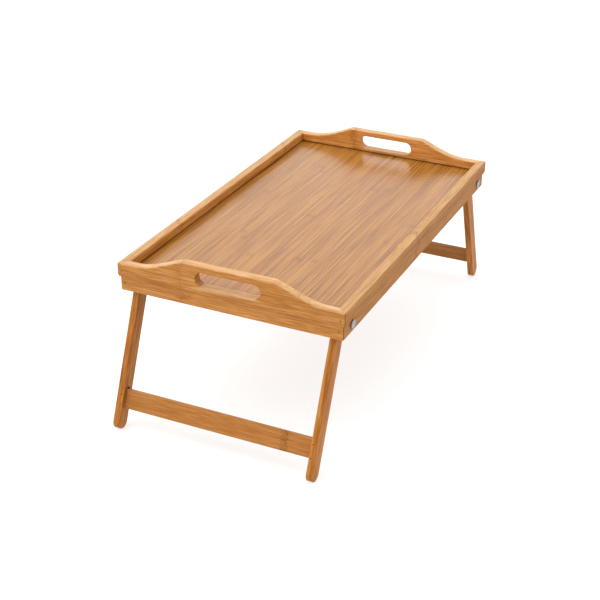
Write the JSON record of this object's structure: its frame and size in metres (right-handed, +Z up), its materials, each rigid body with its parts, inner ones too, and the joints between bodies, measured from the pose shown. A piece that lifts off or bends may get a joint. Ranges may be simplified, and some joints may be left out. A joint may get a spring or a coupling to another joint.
{
  "type": "folding tray table",
  "caption": "Bamboo bed tray table: mitred tray with slotted, raised end panels, standing on leg frames that fold inwards to lie flat under it.",
  "frame": {"origin": "on the floor, under the middle of the tray", "axes": "+X along the tray towards its back end, +Y across it towards its left rail, +Z up"},
  "size_m": [0.5962, 0.285, 0.2144],
  "materials": {
    "bamboo_board": "edge-glued bamboo with long grain and node bands, satin clear lacquer",
    "bamboo_panel": "thin bamboo strip panel, fine strips along the tray, satin clear lacquer",
    "steel": "bright zinc-plated steel, satin",
    "nail": "dull steel brad, heads set just below the wood"
  },
  "bodies": {
    "front_leg_frame": {"front_cross_bar": "bamboo_board", "front_left_leg": "bamboo_board", "front_right_leg": "bamboo_board", "leg_brad_front_left_1": "nail", "leg_brad_front_left_2": "nail", "leg_brad_front_right_1": "nail", "leg_brad_front_right_2": "nail"},
    "back_leg_frame": {"back_cross_bar": "bamboo_board", "back_left_leg": "bamboo_board", "back_right_leg": "bamboo_board", "leg_brad_back_left_1": "nail", "leg_brad_back_left_2": "nail", "leg_brad_back_right_1": "nail", "leg_brad_back_right_2": "nail"},
    "tray": {"back_end_panel": "bamboo_board", "corner_brad_back_left_1": "nail", "corner_brad_back_left_2": "nail", "corner_brad_back_left_3": "nail", "corner_brad_back_right_1": "nail", "corner_brad_back_right_2": "nail", "corner_brad_back_right_3": "nail", "corner_brad_front_left_1": "nail", "corner_brad_front_left_2": "nail", "corner_brad_front_left_3": "nail", "corner_brad_front_right_1": "nail", "corner_brad_front_right_2": "nail", "corner_brad_front_right_3": "nail", "front_end_panel": "bamboo_board", "inner_washer_back_left": "steel", "inner_washer_back_right": "steel", "inner_washer_front_left": "steel", "inner_washer_front_right": "steel", "left_long_rail": "bamboo_board", "lock_nut_back_left": "steel", "lock_nut_back_right": "steel", "lock_nut_front_left": "steel", "lock_nut_front_right": "steel", "pivot_bolt_back_left": "steel", "pivot_bolt_back_right": "steel", "pivot_bolt_front_left": "steel", "pivot_bolt_front_right": "steel", "right_long_rail": "bamboo_board", "spacer_washer_back_left": "steel", "spacer_washer_back_right": "steel", "spacer_washer_front_left": "steel", "spacer_washer_front_right": "steel", "tray_floor": "bamboo_panel"}
  },
  "joints": [
    {"name": "front_legs_fold", "type": "hinge", "parent": "tray", "child": "front_leg_frame", "pos_m": [-0.2237, 0, 0.17095], "axis": [0, -1, 0], "range_deg": [0, 111.89]},
    {"name": "back_legs_fold", "type": "hinge", "parent": "tray", "child": "back_leg_frame", "pos_m": [0.2237, 0, 0.17095], "axis": [0, 1, 0], "range_deg": [0, 111.89]}
  ]
}
